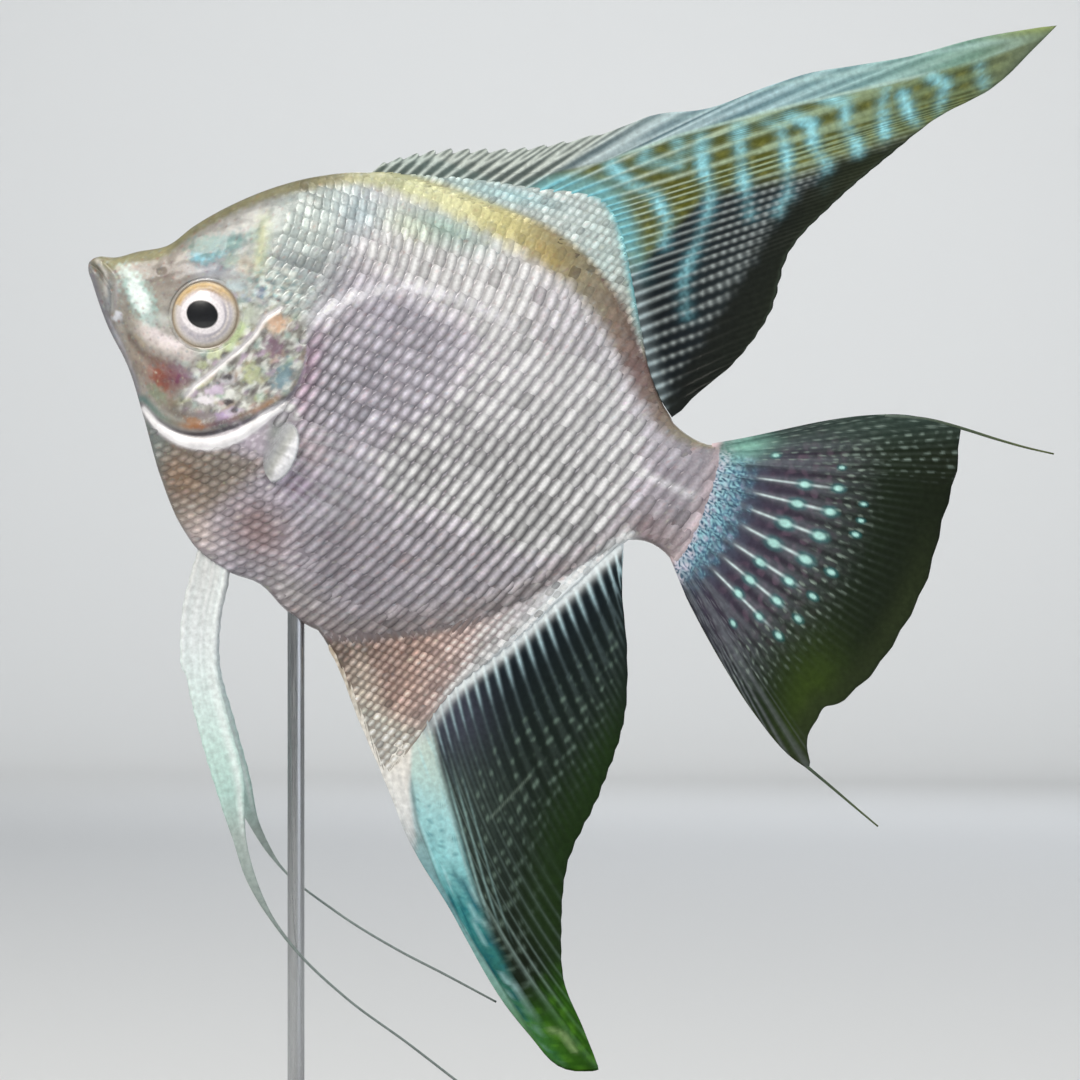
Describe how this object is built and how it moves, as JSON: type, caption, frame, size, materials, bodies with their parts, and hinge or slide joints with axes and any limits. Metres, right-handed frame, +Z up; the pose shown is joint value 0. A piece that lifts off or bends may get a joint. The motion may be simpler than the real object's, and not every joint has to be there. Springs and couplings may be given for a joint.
{
  "type": "freshwater angelfish model on a stand",
  "caption": "Life-size still model of a freshwater angelfish, nose up with its tall fins spread, held by a rod on a round wooden base.",
  "frame": {"origin": "centre of the stand base's flat underside", "axes": "+Z up, +Y to the fish's right side, -X the way the fish faces; the fish is pitched 21 degrees nose up"},
  "size_m": [0.1418, 0.09, 0.1702],
  "materials": {
    "head_skin": "wet olive-grey skin with turquoise patches",
    "jaw_skin": "wet grey skin",
    "gill_cover_skin": "pearly skin, mottled yellow-green, white and mauve",
    "trunk_scales": "pearly mauve-grey scales, gold along the back",
    "tail_stalk_scales": "pearly pinkish scales",
    "eye": "clear domed eye with a pale iris and black pupil",
    "dorsal_fin": "olive to charcoal membrane with pale rays and turquoise bands",
    "anal_fin": "scaly reddish root, dark green-grey membrane, pale rays",
    "caudal_fin": "dark grey membrane with pale beaded rays, green rear corner",
    "pelvic_fin": "white to pale mint ribbon",
    "pectoral_fin": "clear membrane with faint rays",
    "walnut": "oiled turned walnut",
    "steel": "satin steel rod"
  },
  "bodies": {
    "root": {"head": "head_skin", "lower_jaw": "jaw_skin", "gill_cover_left": "gill_cover_skin", "gill_cover_right": "gill_cover_skin", "trunk": "trunk_scales", "tail_stalk": "tail_stalk_scales", "eye_left": "eye", "eye_right": "eye", "dorsal_fin": "dorsal_fin", "anal_fin": "anal_fin", "caudal_fin": "caudal_fin", "pelvic_fin_left": "pelvic_fin", "pelvic_fin_right": "pelvic_fin", "pectoral_fin_left": "pectoral_fin", "pectoral_fin_right": "pectoral_fin", "stand_base": "walnut", "stand_rod": "steel"}
  },
  "joints": []
}
